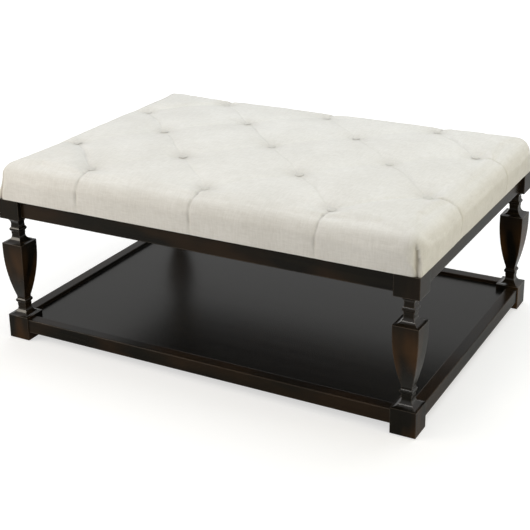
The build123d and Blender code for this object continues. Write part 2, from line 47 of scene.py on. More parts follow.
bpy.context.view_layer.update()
cornerNames = ["front_left", "front_right", "rear_left", "rear_right"]
print("frame loaded:", len(nodes), "nodes")


# Camera and lights

view = {
    "place": (1.321, -2.469, 1.334),
    "turn": 28.52,  # degrees round from the front, to the right
    "tilt": 19.52,  # degrees down
    "roll": -0.80,
    "lens": 80.0,
    "sensor": 36,
    "rise": -0.13,  # the photograph's axis lies above its middle
    "near": 0.1,
    "far": 50,
}


def setCamera():
    lens = bpy.data.cameras.new("photoCamera")
    lens.lens = view["lens"]
    lens.sensor_width = view["sensor"]
    lens.shift_y = view["rise"]
    lens.clip_start = view["near"]
    lens.clip_end = view["far"]
    camera = bpy.data.objects.new("photoCamera", lens)
    turned = Matrix.Rotation(radians(view["turn"]), 4, "Z")
    tilted = Matrix.Rotation(radians(90 - view["tilt"]), 4, "X")
    rolled = Matrix.Rotation(radians(view["roll"]), 4, "Z")
    camera.matrix_world = Matrix.Translation(view["place"]) @ turned @ tilted @ rolled
    scene.collection.objects.link(camera)
    scene.camera = camera


studio = {
    "wallLight": 0.34,  # what the room gives from all sides
    "mirrorShare": 0.15,  # how much of the white backdrop the gloss shows
    "lamps": [
        # name, place, width, depth, watts, colour
        ("overheadSoftbox", (0.1, 0.9, 2.9), 2.8, 2.2, 47, (0.92, 0.97, 1.0)),
        ("frontSoftbox", (-2.0, -1.9, 1.2), 1.6, 1.3, 30, (1.0, 0.92, 0.80)),
        ("rightFill", (3.2, -0.4, 1.4), 1.8, 1.4, 27, (1.0, 0.91, 0.63)),
        ("highStrip", (-0.2, -1.8, 2.0), 0.7, 0.15, 4, (1.0, 0.97, 0.92)),  # glints on the mouldings
    ],
    "aim": (0, 0, 0.35),
    "floorTone": (0.60, 0.60, 0.60, 1),
    "floorLift": 0.58,  # added for the camera, so that the floor is white around the shadow
    "liftFrom": 1.0,  # metres from the middle, where the lift begins to grow
    "liftTo": 3.2,  # and where it comes to 1
    "floorHalf": 14,
}


def setLights():
    for name, place, width, depth, watts, colour in studio["lamps"]:
        lamp = bpy.data.lights.new(name, "AREA")
        lamp.shape = "RECTANGLE"
        lamp.size = width
        lamp.size_y = depth
        lamp.energy = watts
        lamp.color = colour
        holder = bpy.data.objects.new(name, lamp)
        holder.location = place
        aim = Vector(studio["aim"]) - Vector(place)
        holder.rotation_euler = aim.to_track_quat("-Z", "Y").to_euler()
        scene.collection.objects.link(holder)
    scene.view_settings.view_transform = "Standard"


def backdropShare(tree):
    # 1 for what the camera sees, straight or through glass, and a little for what the gloss shows
    rays = addNode(tree, "ShaderNodeLightPath").outputs
    gloss = combine(tree, "MULTIPLY", rays["Is Glossy Ray"], studio["mirrorShare"])
    straight = combine(tree, "MAXIMUM", rays["Is Camera Ray"], rays["Is Transmission Ray"])
    return combine(tree, "MAXIMUM", straight, gloss)


def setRoom():
    room = bpy.data.worlds.new("whiteRoom")
    scene.world = room
    room.use_nodes = True
    tree = room.node_tree
    backdrop = tree.nodes["Background"]
    backdrop.inputs["Color"].default_value = (1, 1, 1, 1)
    strength = spread(tree, backdropShare(tree), 0, 1, studio["wallLight"], 1.0)
    tree.links.new(strength, backdrop.inputs["Strength"])


# Small helpers for materials

def setSockets(node, values):
    for socket, value in values.items():
        node.inputs[socket].default_value = value


def startMaterial(name, roughness, specular=0.5):
    material = bpy.data.materials.new(name)
    material.use_nodes = True
    shader = material.node_tree.nodes["Principled BSDF"]
    setSockets(shader, {"Roughness": roughness, "Specular IOR Level": specular})
    return material, material.node_tree, shader


def paint(tree, shader, colour):
    tree.links.new(colour, shader.inputs["Base Color"])


def addNode(tree, kind, links=(), **settings):
    node = tree.nodes.new(kind)
    for key, value in settings.items():
        setattr(node, key, value)
    for socket, source in links:
        tree.links.new(source, node.inputs[socket])
    return node


def stretched(tree, scale, turn=(0, 0, 0)):
    place = addNode(tree, "ShaderNodeTexCoord")
    mapping = addNode(tree, "ShaderNodeMapping", [("Vector", place.outputs["Object"])])
    setSockets(mapping, {"Scale": scale, "Rotation": turn})
    return mapping.outputs["Vector"]


def noise(tree, scale, detail=3, roughness=0.5, distortion=0.0):
    # The scale has one number for each axis, in grains to the metre
    texture = addNode(tree, "ShaderNodeTexNoise", [("Vector", stretched(tree, scale))])
    setSockets(texture, {"Scale": 1, "Detail": detail, "Roughness": roughness, "Distortion": distortion})
    return texture.outputs["Fac"]


def ramp(tree, value, stops):
    colours = addNode(tree, "ShaderNodeValToRGB", [("Fac", value)])
    band = colours.color_ramp
    band.elements[0].position, band.elements[0].color = stops[0][0], (*stops[0][1], 1)
    band.elements[1].position, band.elements[1].color = stops[-1][0], (*stops[-1][1], 1)
    for position, colour in stops[1:-1]:
        band.elements.new(position).color = (*colour, 1)
    return colours.outputs["Color"]


def spread(tree, value, low, high, toLow=0.0, toHigh=1.0):
    ranged = addNode(tree, "ShaderNodeMapRange", [("Value", value)])
    setSockets(ranged, {"From Min": low, "From Max": high, "To Min": toLow, "To Max": toHigh})
    return ranged.outputs["Result"]


def blend(tree, share, first, second):
    mixed = addNode(tree, "ShaderNodeMix", data_type="RGBA")
    sockets = {"Factor": mixed.inputs[0], "A": mixed.inputs[6], "B": mixed.inputs[7]}
    for name, given in (("Factor", share), ("A", first), ("B", second)):
        if isinstance(given, bpy.types.NodeSocket):
            tree.links.new(given, sockets[name])
        elif name == "Factor":
            sockets[name].default_value = given
        else:
            sockets[name].default_value = (*given, 1)
    return mixed.outputs[2]


def combine(tree, operation, first, second):
    step = addNode(tree, "ShaderNodeMath", operation=operation)
    for socket, given in zip(step.inputs, (first, second)):
        if isinstance(given, bpy.types.NodeSocket):
            tree.links.new(given, socket)
        else:
            socket.default_value = given
    return step.outputs[0]


def weigh(tree, *pairs):
    # The sum of the values, each times its share
    total = None
    for value, share in pairs:
        part = combine(tree, "MULTIPLY", value, share)
        total = part if total is None else combine(tree, "ADD", total, part)
    return total


def bump(tree, shader, height, distance, strength, base=None):
    relief = addNode(tree, "ShaderNodeBump", [("Height", height)])
    setSockets(relief, {"Strength": strength, "Distance": distance})
    if base:
        tree.links.new(base, relief.inputs["Normal"])
    tree.links.new(relief.outputs["Normal"], shader.inputs["Normal"])


def alongAxis(axis, along, across):
    return tuple(along if letter == axis else across for letter in "xyz")


setCamera()
setLights()
setRoom()
print("camera and lights set")


# Wood finishes

espresso = {
    "dark": (0.0050, 0.0042, 0.0032),
    "mid": (0.0085, 0.0072, 0.0046),
    "warm": (0.084, 0.039, 0.013),
    "rubbedAndHighlit": (0.120, 0.088, 0.060),  # bare brown where the stain is rubbed through, lightened on the arrises as a painted highlight
    "roughness": 0.27,
    "shine": 0.10,
    "coat": 0.08,
    "edgeCoat": 1.0,  # hands and cloths have polished the arrises and mouldings
    "dusted": 0.35,  # and, less, the tops of the boards
    "coatRoughness": 0.19,
    "legEdge": 0.0024,
    "boardEdge": 0.0042,
    "gleam": (1.0, 0.985, 0.93, 1),
    "boardWarmth": 0.22,  # the boards are less worn than the legs
    "mostWorn": 0.85,
    "grainDepth": 0.00025,
    # Bands: from, to, and the share given at either end where that isn't 0 and 1
    "wearClouds": (0.40, 0.60),
    "rubbedAndHighlitClouds": (0.38, 0.60, 0.40, 0.95),
    "arrisTurn": (0.985, 0.86),  # cosine of the turn that the rounded edge makes
    "legSlope": (0.12, 0.40),
    "boardSlope": (0.7, 0.95),
    "belowVase": (0.10, 0.15, 0.25, 1.0),
    "aboveVase": (0.20, 0.26, 1.0, 0.1),
    "footBlock": (0.055, 0.075, 0.7, 0.0),
}


def legWear(tree):
    # The vase of each leg is handled most, its beads and coves least
    place = addNode(tree, "ShaderNodeSeparateXYZ", [("Vector", stretched(tree, (1, 1, 1)))])
    height = place.outputs["Z"]
    lower = spread(tree, height, *espresso["belowVase"])
    upper = spread(tree, height, *espresso["aboveVase"])
    foot = spread(tree, height, *espresso["footBlock"])
    return combine(tree, "MAXIMUM", combine(tree, "MULTIPLY", lower, upper), foot)


def espressoWood(name, axis, warmth=1.0):
    material, tree, shader = startMaterial(name, espresso["roughness"], espresso["shine"])
    onLeg = axis == "z"
    setSockets(shader, {"Specular Tint": espresso["gleam"], "Coat Roughness": espresso["coatRoughness"]})
    grain = noise(tree, alongAxis(axis, 4, 70), detail=5, roughness=0.6, distortion=0.4)
    clouds = noise(tree, alongAxis(axis, 5, 13), detail=2)
    pores = noise(tree, alongAxis(axis, 30, 900), detail=2)
    stain = ramp(tree, grain, [(0.30, espresso["dark"]), (0.62, espresso["mid"])])
    worn = spread(tree, clouds, *espresso["wearClouds"], 0, espresso["mostWorn"] * warmth)
    if onLeg:
        worn = combine(tree, "MULTIPLY", worn, legWear(tree))
    stain = blend(tree, worn, stain, espresso["warm"])
    edge = addNode(tree, "ShaderNodeBevel", samples=6)
    edge.inputs["Radius"].default_value = espresso["legEdge" if onLeg else "boardEdge"]
    surface = addNode(tree, "ShaderNodeNewGeometry").outputs["Normal"]
    both = [(0, edge.outputs["Normal"]), (1, surface)]
    facing = addNode(tree, "ShaderNodeVectorMath", both, operation="DOT_PRODUCT")
    arris = spread(tree, facing.outputs["Value"], *espresso["arrisTurn"])
    patches = spread(tree, clouds, *espresso["rubbedAndHighlitClouds"])
    # The arrises take the rubbed colour: worn edges, and also a painted highlight
    colour = blend(tree, combine(tree, "MULTIPLY", arris, patches), stain, espresso["rubbedAndHighlit"])
    paint(tree, shader, colour)
    upward = addNode(tree, "ShaderNodeSeparateXYZ", [("Vector", surface)]).outputs["Z"]
    if onLeg:
        handled = spread(tree, combine(tree, "ABSOLUTE", upward, 0), *espresso["legSlope"])
    else:
        handled = spread(tree, upward, *espresso["boardSlope"], 0, espresso["dusted"])
    polished = combine(tree, "MAXIMUM", arris, handled)
    coat = spread(tree, polished, 0, 1, espresso["coat"], espresso["edgeCoat"])
    tree.links.new(coat, shader.inputs["Coat Weight"])
    relief = combine(tree, "ADD", combine(tree, "MULTIPLY", pores, 0.4), grain)
    bump(tree, shader, relief, espresso["grainDepth"], strength=0.3, base=edge.outputs["Normal"])
    return material


shelfFinish = {
    "dark": (0.0034, 0.0032, 0.0024),
    "mid": (0.0072, 0.0066, 0.0050),
    "roughness": 0.25,
    "gloss": (0.3, 0.7, 0.23, 0.27),  # the grain from and to, and the roughness at either end
    "coat": 0.12,
    "coatRoughness": 0.2,
}


def shelfWood():
    material, tree, shader = startMaterial("shelfWood", shelfFinish["roughness"])
    setSockets(shader, {
        "Specular Tint": espresso["gleam"],
        "Coat Weight": shelfFinish["coat"],
        "Coat Roughness": shelfFinish["coatRoughness"],
    })
    grain = noise(tree, (3, 46, 46), detail=6, roughness=0.62, distortion=0.6)
    figure = noise(tree, (1.1, 9, 9), distortion=1.2)
    mixed = weigh(tree, (grain, 0.6), (figure, 0.4))
    colour = ramp(tree, mixed, [(0.36, shelfFinish["dark"]), (0.64, shelfFinish["mid"])])
    paint(tree, shader, colour)
    tree.links.new(spread(tree, grain, *shelfFinish["gloss"]), shader.inputs["Roughness"])
    bump(tree, shader, mixed, distance=0.0001, strength=0.05)
    return material


def bareWood(name, pale, deep):
    material, tree, shader = startMaterial(name, roughness=0.72, specular=0.3)
    grain = noise(tree, (6, 90, 90), detail=5, roughness=0.6, distortion=0.5)
    broad = noise(tree, (3, 22, 22))
    colour = ramp(tree, blend(tree, 0.5, grain, broad), [(0.34, deep), (0.66, pale)])
    paint(tree, shader, colour)
    bump(tree, shader, grain, distance=0.0003, strength=0.5)
    return material


plyFinish = {
    "facePale": (0.60, 0.45, 0.28),
    "faceDeep": (0.36, 0.24, 0.13),
    "edgePale": (0.55, 0.40, 0.24),
    "edgeDeep": (0.22, 0.13, 0.07),
    "bands": 105,  # one layer in about 3 mm
    "bandWander": 0.6,
}


def plyWood():
    material, tree, shader = startMaterial("seatPlywood", roughness=0.7, specular=0.3)
    veneer = noise(tree, (4, 60, 4), detail=5, roughness=0.6, distortion=0.8)
    across = [("Vector", stretched(tree, (0.4, 0.4, 1)))]
    layers = addNode(tree, "ShaderNodeTexWave", across, bands_direction="Z")
    setSockets(layers, {"Scale": plyFinish["bands"], "Distortion": plyFinish["bandWander"]})
    face = ramp(tree, veneer, [(0.34, plyFinish["faceDeep"]), (0.66, plyFinish["facePale"])])
    stops = [(0.35, plyFinish["edgeDeep"]), (0.6, plyFinish["edgePale"])]
    side = ramp(tree, layers.outputs["Fac"], stops)
    surface = addNode(tree, "ShaderNodeNewGeometry")
    parts = addNode(tree, "ShaderNodeSeparateXYZ", [("Vector", surface.outputs["Normal"])])
    flat = combine(tree, "ABSOLUTE", parts.outputs["Z"], 0)
    colour = blend(tree, spread(tree, flat, 0.4, 0.6), side, face)
    paint(tree, shader, colour)
    bump(tree, shader, veneer, distance=0.0003, strength=0.4)
    return material


# Cloth, metal and plastic finishes

linen = {
    "pale": (0.842, 0.828, 0.794),
    "deep": (0.716, 0.698, 0.656),
    "buttonShadedPale": (0.680, 0.665, 0.628),  # darker than the top: painted shade of the pit each button sits in
    "buttonShadedDeep": (0.600, 0.583, 0.545),
    "shade": (0.40, 0.365, 0.31),  # painted shade in the folds, tucks and tuft pits
    "threads": (700, 60),  # in a metre across and along, as the weave shows from a step away
    "slubs": (230, 42),
    "shares": (0.32, 0.44, 0.24),  # of threads, slubs and clouds in the tone
    "sheen": 0.12,
    "sheenRoughness": 0.6,
    "threadDepth": 0.0006,
}


def linenCloth(name, pale, deep, folded=True):
    material, tree, shader = startMaterial(name, roughness=0.9, specular=0.2)
    setSockets(shader, {"Sheen Weight": linen["sheen"], "Sheen Roughness": linen["sheenRoughness"]})
    weaves = []
    for across, along in (linen["threads"], linen["slubs"]):
        warp = noise(tree, (across, along, along), detail=2, roughness=0.6)
        weft = noise(tree, (along, across, across), detail=2, roughness=0.6)
        weaves.append(weigh(tree, (warp, 0.5), (weft, 0.5)))
    fine, slub = weaves
    clouds = noise(tree, (9, 9, 9), detail=2)
    mixed = weigh(tree, *zip((fine, slub, clouds), linen["shares"]))
    colour = ramp(tree, mixed, [(0.37, deep), (0.61, pale)])
    # Painted shade: the linen is greyed towards the shade colour in folds, tucks and tuft pits
    if folded:
        fold = addNode(tree, "ShaderNodeAttribute", attribute_name="paintedShade")
        colour = blend(tree, fold.outputs["Fac"], colour, linen["shade"])
    paint(tree, shader, colour)
    relief = combine(tree, "ADD", fine, combine(tree, "MULTIPLY", slub, 0.8))
    bump(tree, shader, relief, linen["threadDepth"], strength=0.6)
    return material


def dustCloth():
    material, tree, shader = startMaterial("dustCoverCloth", roughness=0.85, specular=0.2)
    fibres = noise(tree, (700, 700, 700), detail=4, roughness=0.7, distortion=1.5)
    spots = addNode(tree, "ShaderNodeTexVoronoi", [("Vector", stretched(tree, (420, 420, 420)))])
    colour = ramp(tree, fibres, [(0.35, (0.010, 0.010, 0.011)), (0.7, (0.030, 0.030, 0.032))])
    paint(tree, shader, colour)
    bump(tree, shader, spots.outputs["Distance"], distance=0.0003, strength=0.6)
    return material


def waxedTwine():
    material, tree, shader = startMaterial("waxedTwine", roughness=0.6, specular=0.3)
    leaning = stretched(tree, (1, 1, 1), turn=(0.6, 0, 0))
    twist = addNode(tree, "ShaderNodeTexWave", [("Vector", leaning)])
    twist.inputs["Scale"].default_value = 260  # one strand in about 1.2 mm
    colour = ramp(tree, twist.outputs["Fac"], [(0.2, (0.45, 0.40, 0.30)), (0.7, (0.78, 0.72, 0.58))])
    paint(tree, shader, colour)
    bump(tree, shader, twist.outputs["Fac"], distance=0.0004, strength=0.7)
    return material


def glidePlastic():
    material, tree, shader = startMaterial("glidePlastic", roughness=0.5, specular=0.4)
    grain = noise(tree, (900, 900, 900), detail=2)
    colour = ramp(tree, grain, [(0.3, (0.035, 0.028, 0.022)), (0.7, (0.060, 0.048, 0.038))])
    paint(tree, shader, colour)
    bump(tree, shader, grain, distance=0.0001, strength=0.4)
    return material


def platedSteel(name, pale, deep):
    material, tree, shader = startMaterial(name, roughness=0.36)
    shader.inputs["Metallic"].default_value = 1.0
    cast = noise(tree, (160, 160, 160))
    colour = ramp(tree, cast, [(0.3, deep), (0.7, pale)])
    paint(tree, shader, colour)
    gloss = spread(tree, cast, 0.3, 0.7, toLow=0.3, toHigh=0.45)
    tree.links.new(gloss, shader.inputs["Roughness"])
    return material


woodAlongX = espressoWood("espressoAlongX", "x", espresso["boardWarmth"])
woodAlongY = espressoWood("espressoAlongY", "y", espresso["boardWarmth"])
woodUpright = espressoWood("espressoLegs", "z")
panelWood = shelfWood()
blockWood = bareWood("blockWood", pale=(0.50, 0.34, 0.19), deep=(0.30, 0.19, 0.10))
dowelWood = bareWood("dowelWood", pale=(0.55, 0.40, 0.24), deep=(0.36, 0.24, 0.13))
seatPly = plyWood()
topLinen = linenCloth("topLinen", linen["pale"], linen["deep"])
# The buttons' linen is darker, as painted shade of the tuft pits
shadedButtonLinen = linenCloth("shadedButtonLinen", linen["buttonShadedPale"], linen["buttonShadedDeep"], folded=False)
underCloth = dustCloth()
tuftTwine = waxedTwine()
footPlastic = glidePlastic()
zincPlate = platedSteel("zincPlate", pale=(0.66, 0.66, 0.64), deep=(0.48, 0.48, 0.47))
stapleSteel = platedSteel("stapleSteel", pale=(0.58, 0.58, 0.58), deep=(0.40, 0.40, 0.41))


def finishNodes():
    finishes = {
        "seat_board": seatPly,
        "shelf_panel": panelWood,
        "shelf_batten": woodAlongY,
        "apron_dowels": dowelWood,
        "tufting_twines": tuftTwine,
        "tuft_buttons": shadedButtonLinen,
        "tufted_cover": topLinen,
        "foam_pad": topLinen,
        "dust_cover": underCloth,
    }
    woods = {"front": woodAlongX, "rear": woodAlongX, "left": woodAlongY, "right": woodAlongY}
    for side, wood in woods.items():
        finishes[f"apron_{side}"] = wood
        finishes[f"shelf_rail_{side}"] = wood
    for side in ("front", "rear"):
        finishes[f"cleat_{side}"] = blockWood
    for corner in cornerNames:
        finishes[f"leg_{corner}"] = woodUpright
        finishes[f"corner_block_{corner}"] = blockWood
        finishes[f"foot_glide_{corner}"] = footPlastic
    for name, node in nodes.items():
        finish = finishes.get(name, zincPlate)
        if not node.material_slots:
            node.data.materials.append(finish)
        for slot in node.material_slots:
            slot.material = finish


finishNodes()
print("wood, metal and cloth finishes made")


# Cushion: one linen skin from under the board up over the foam

cushion = {
    "edgeRadius": 0.036,
    "swell": 0.002,  # how far the faces stand out from the foot
    "crownRise": 0.012,
    "crownBlend": 6,  # how tightly the crowns of length and depth meet
    "footCornerRadius": 0.009,
    "step": 0.005,  # between the threads of the mesh
    "cornerSteps": 8,
    "tuftCounts": (3, 4, 3, 4, 3),
    "endMargin": 0.076,
    "sideMargin": 0.073,
    "tuftDepth": 0.0097,
    "tuftReach": 0.026,
    "tuftRoundness": 1.4,
    "buttonSeat": 0.0080,  # half the width of the flat under each button
    "valleyDepth": 0.0034,
    "valleyWidth": 0.020,
    "turnedUnder": 0.062,
    "hemInset": 0.0015,
    "hemLift": 0.0001,
    "boardGap": 0.0004,
}

coverLow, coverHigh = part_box("tufted_cover")
boardLow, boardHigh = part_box("seat_board")
edgeRadius = cushion["edgeRadius"]
halfLength = coverHigh.x - cushion["swell"]
halfDepth = coverHigh.y - cushion["swell"]
footLevel = coverLow.z
cornerX = coverHigh.x - edgeRadius
cornerY = coverHigh.y - edgeRadius
crownSlope = 2 * atan(cushion["crownRise"] / cornerY)
topHalfX = cornerX + edgeRadius * sin(crownSlope)
topHalfY = cornerY + edgeRadius * sin(crownSlope)
shoulder = coverHigh.z - edgeRadius * cos(crownSlope) - topHalfY * tan(crownSlope / 2)
edgeLevel = shoulder + edgeRadius * cos(crownSlope)


def tuftPlaces():
    counts = cushion["tuftCounts"]
    pitch = 2 * (halfLength - cushion["endMargin"]) / (max(counts) - 1)
    rowPitch = 2 * (halfDepth - cushion["sideMargin"]) / (len(counts) - 1)
    rows = []
    for row, count in enumerate(counts):
        y = (row - (len(counts) - 1) / 2) * rowPitch
        rows.append([((k - (count - 1) / 2) * pitch, y) for k in range(count)])
    return rows, pitch


tuftRows, tuftPitch = tuftPlaces()
tufts = [place for row in tuftRows for place in row]


def crownLevel(x, y):
    heights = []
    for offset, turn in ((x, topHalfX), (y, topHalfY)):
        radius = turn / sin(crownSlope)
        away = np.minimum(np.abs(offset), turn)
        heights.append(np.sqrt(radius ** 2 - away ** 2) - radius * cos(crownSlope))
    low, high = np.minimum(*heights), np.maximum(*heights)
    ratio = np.where(high > 1e-9, low / np.maximum(high, 1e-9), 1)
    power = cushion["crownBlend"]
    return edgeLevel + low / (1 + ratio ** power) ** (1 / power)


def tuftLinks():
    links = []
    for row, nextRow in zip(tuftRows, tuftRows[1:]):
        for place in row:
            links += [(place, other) for other in nextRow if abs(other[0] - place[0]) < tuftPitch]
    return links


def segmentDistance(u, v, start, end):
    # How far each point lies from the line, how far along it, and how far to its side
    startU, startV = start
    runU, runV = end[0] - startU, end[1] - startV
    length = sqrt(runU ** 2 + runV ** 2)
    along = ((u - startU) * runU + (v - startV) * runV) / length ** 2
    along = np.clip(along, 0, 1)
    offU, offV = u - startU - along * runU, v - startV - along * runV
    side = (offU * runV - offV * runU) / length
    return np.sqrt(offU ** 2 + offV ** 2), along, side


def sinkTufts(u, v):
    depth = np.zeros(len(u))
    for start, end in tuftLinks():
        away, _, _ = segmentDistance(u, v, start, end)
        valley = cushion["valleyDepth"] * np.exp(-(away / cushion["valleyWidth"]) ** 2)
        depth = np.maximum(depth, valley)
    for x, y in tufts:
        beyond = np.maximum(np.hypot(u - x, v - y) - cushion["buttonSeat"], 0) / cushion["tuftReach"]
        pit = cushion["tuftDepth"] * np.exp(-beyond ** cushion["tuftRoundness"])
        depth = np.sqrt(depth ** 2 + pit ** 2)
    return depth


def flatPlace(points):
    # Where a point of the skin lies once the faces are folded flat round the top
    x, y, z = points.T
    beyondX = np.abs(x) - topHalfX
    beyondY = np.abs(y) - topHalfY
    longFace = beyondY > beyondX
    out = np.where(longFace, np.abs(y) - cornerY, np.abs(x) - cornerX)
    angle = np.arctan2(np.maximum(z - shoulder, 0), np.maximum(out, 1e-6))
    fall = edgeRadius * (pi / 2 - crownSlope - angle)
    fall = np.where(z < shoulder, edgeRadius * (pi / 2 - crownSlope) + shoulder - z, fall)
    onTop = (beyondX <= 0) & (beyondY <= 0)
    fall = np.where(onTop, 0, np.maximum(fall, 0))
    u = np.where(longFace | onTop, x, np.sign(x) * (topHalfX + fall))
    v = np.where(longFace & ~onTop, np.sign(y) * (topHalfY + fall), y)
    return u, v


def outlineRow(halfX, halfY, cornerRadius, level, sharesX, sharesY):
    # One closed row of the skin, counter-clockwise from the left end of the front
    straightX, straightY = halfX - cornerRadius, halfY - cornerRadius
    steps = cushion["cornerSteps"]
    quarters = [
        # a straight side, and the middle of the corner after it
        ([(share * straightX, -halfY) for share in sharesX], straightX, -straightY),
        ([(halfX, share * straightY) for share in sharesY], straightX, straightY),
        ([(-share * straightX, halfY) for share in sharesX], -straightX, straightY),
        ([(-halfX, -share * straightY) for share in sharesY], -straightX, -straightY),
    ]
    row = []
    for number, (side, middleX, middleY) in enumerate(quarters):
        row += [(x, y, level) for x, y in side]
        for k in range(1, steps):
            angle = (number - 1) * pi / 2 + k / steps * pi / 2
            row.append((middleX + cornerRadius * cos(angle), middleY + cornerRadius * sin(angle), level))
    return row


def skinRows(sharesX, sharesY):
    rows = []
    step = cushion["step"]
    wallSteps = ceil((shoulder - footLevel) / step)
    for k in range(wallSteps + 1):
        rise = k / wallSteps
        out = cushion["swell"] * (1 - (1 - rise) ** 2)
        smooth = rise * rise * (3 - 2 * rise)
        corner = cushion["footCornerRadius"] + (edgeRadius - cushion["footCornerRadius"]) * smooth
        level = footLevel + (shoulder - footLevel) * rise
        rows.append(outlineRow(halfLength + out, halfDepth + out, corner, level, sharesX, sharesY))
    turnSteps = ceil(edgeRadius * pi / 2 / step)
    full = pi / 2 - crownSlope
    for k in range(1, turnSteps):
        angle = full * k / turnSteps
        out, rise = edgeRadius * cos(angle), edgeRadius * sin(angle)
        rows.append(outlineRow(cornerX + out, cornerY + out, out, shoulder + rise, sharesX, sharesY))
    return rows


def ringFaces(low, high, count):
    # The four-sided faces between two closed rings of points
    return [(low + k, low + (k + 1) % count, high + (k + 1) % count, high + k) for k in range(count)]


def gridFaces(start, countX, countY):
    lows = [start + row * (countX + 1) + column for row in range(countY) for column in range(countX)]
    return [(low, low + 1, low + countX + 2, low + countX + 1) for low in lows]


def buildSkin():
    step = cushion["step"]
    countX, countY = round(2 * topHalfX / step), round(2 * topHalfY / step)
    sharesX = np.linspace(-1, 1, countX + 1)
    sharesY = np.linspace(-1, 1, countY + 1)
    rows = skinRows(sharesX, sharesY)
    ring = len(rows[0])
    points = [point for row in rows for point in row]
    faces = []
    for row in range(len(rows) - 1):
        faces += ringFaces(row * ring, (row + 1) * ring, ring)
    gridStart = len(points)
    for shareY in sharesY:
        for shareX in sharesX:
            points.append((shareX * topHalfX, shareY * topHalfY, 0))
    faces += gridFaces(gridStart, countX, countY)

    def grid(column, row):
        return gridStart + row * (countX + 1) + column

    fan = cushion["cornerSteps"] - 1  # points of the row that share one corner of the grid
    rim = [grid(k, 0) for k in range(countX + 1)] + [grid(countX, 0)] * fan
    rim += [grid(countX, k) for k in range(countY + 1)] + [grid(countX, countY)] * fan
    rim += [grid(countX - k, countY) for k in range(countX + 1)] + [grid(0, countY)] * fan
    rim += [grid(0, countY - k) for k in range(countY + 1)] + [grid(0, 0)] * fan
    last = (len(rows) - 1) * ring
    for k in range(ring):
        nextK = (k + 1) % ring
        face = [last + k, last + nextK, rim[nextK], rim[k]]
        faces.append(tuple(dict.fromkeys(face)))
    points = np.array(points, float)
    top = points[gridStart:]
    top[:, 2] = crownLevel(top[:, 0], top[:, 1])
    return points, faces, ring


def meshObject(name, points, faces, smooth=True):
    mesh = bpy.data.meshes.new(name)
    mesh.from_pydata([tuple(point) for point in points], [], faces)
    mesh.update()
    if smooth:
        mesh.shade_smooth()
    piece = bpy.data.objects.new(name, mesh)
    scene.collection.objects.link(piece)
    return piece


def readVectors(source, key):
    values = np.zeros(len(source) * 3, np.float32)
    source.foreach_get(key, values)
    return values.reshape(-1, 3).astype(float)


def readPoints(mesh):
    return readVectors(mesh.vertices, "co")


def readNormals(mesh):
    return readVectors(mesh.vertex_normals, "vector")


def writePoints(mesh, points):
    mesh.vertices.foreach_set("co", points.astype(np.float32).ravel())
    mesh.update()


def evaluatedMesh(piece):
    return bpy.data.meshes.new_from_object(piece.evaluated_get(bpy.context.evaluated_depsgraph_get()))


def bakeModifiers(piece):
    baked = evaluatedMesh(piece)
    piece.modifiers.clear()
    piece.data = baked
    baked.shade_smooth()


stuffing = {
    "frames": 18,
    "pressure": 4.0,
    "quality": 6,
    "stretch": 15,
    "shear": 5,
    "bend": 0.5,
    "mass": 0.3,
    "mostOnTop": 0.005,  # how far the stuffing may push the linen out
    "mostOnFaces": 0.0024,
    "faceRise": 1.5,  # power with which that grows up the faces
    "slackShare": 0.6,  # the linen starts smaller by this share of that
    "topBand": 0.03,  # below the edge of the top, as far down as the tufts count
    "tuftHold": 0.013,
    "tuftFade": 0.035,
    "footHold": 0.004,
    "footFade": 0.03,
}


def tuftDistance(points):
    away = np.full(len(points), 10.0)
    for x, y in tufts:
        away = np.minimum(away, np.hypot(points[:, 0] - x, points[:, 1] - y))
    return away


def pinWeights(points):
    onTop = points[:, 2] > edgeLevel - stuffing["topBand"]
    held = np.where(onTop & (tuftDistance(points) < stuffing["tuftHold"]), 1.0, 0.0)
    return np.where(points[:, 2] < footLevel + stuffing["footHold"], 1.0, held)


def stuffingRoom(points):
    # How far each point may move: most between the tufts, little on the faces, nothing at the foot
    level = points[:, 2]
    fade = stuffing["footFade"]
    rise = np.clip((level - footLevel - fade) / (edgeLevel - footLevel - fade), 0, 1)
    extra = stuffing["mostOnTop"] - stuffing["mostOnFaces"]
    most = stuffing["mostOnFaces"] + extra * rise ** stuffing["faceRise"]
    fromTuft = np.clip((tuftDistance(points) - stuffing["tuftHold"]) / stuffing["tuftFade"], 0, 1)
    onTop = level > edgeLevel - stuffing["topBand"]
    fromTuft = np.where(onTop, fromTuft * fromTuft * (3 - 2 * fromTuft), 1)
    return most * fromTuft * np.clip((level - footLevel - stuffing["footHold"]) / fade, 0, 1)


def stuffCushion(piece, room):
    before = readPoints(piece.data)
    held = pinWeights(before)
    group = piece.vertex_groups.new(name="held")
    group.add([int(k) for k in np.nonzero(held > 0.5)[0]], 1.0, "REPLACE")
    cloth = piece.modifiers.new("stuffing", "CLOTH")
    settings = cloth.settings
    settings.vertex_group_mass = "held"
    settings.use_pressure = True
    settings.uniform_pressure_force = stuffing["pressure"]
    settings.effector_weights.gravity = 0
    settings.quality = stuffing["quality"]
    settings.tension_stiffness = stuffing["stretch"]
    settings.compression_stiffness = stuffing["stretch"]
    settings.shear_stiffness = stuffing["shear"]
    settings.bending_stiffness = stuffing["bend"]
    settings.mass = stuffing["mass"]
    scene.frame_start, scene.frame_end = 1, stuffing["frames"]
    for number in range(1, stuffing["frames"] + 1):
        scene.frame_set(number)
    after = readPoints(evaluatedMesh(piece))
    piece.modifiers.clear()
    piece.vertex_groups.clear()
    scene.frame_set(1)
    shift = after - before
    length = np.linalg.norm(shift, axis=1)
    capped = shift * np.minimum(1, room / np.maximum(length, 1e-9))[:, None]
    writePoints(piece.data, before + capped)
    print("stuffed cushion: moved up to", round(float(length.max()) * 1000, 1), "mm before the cap")


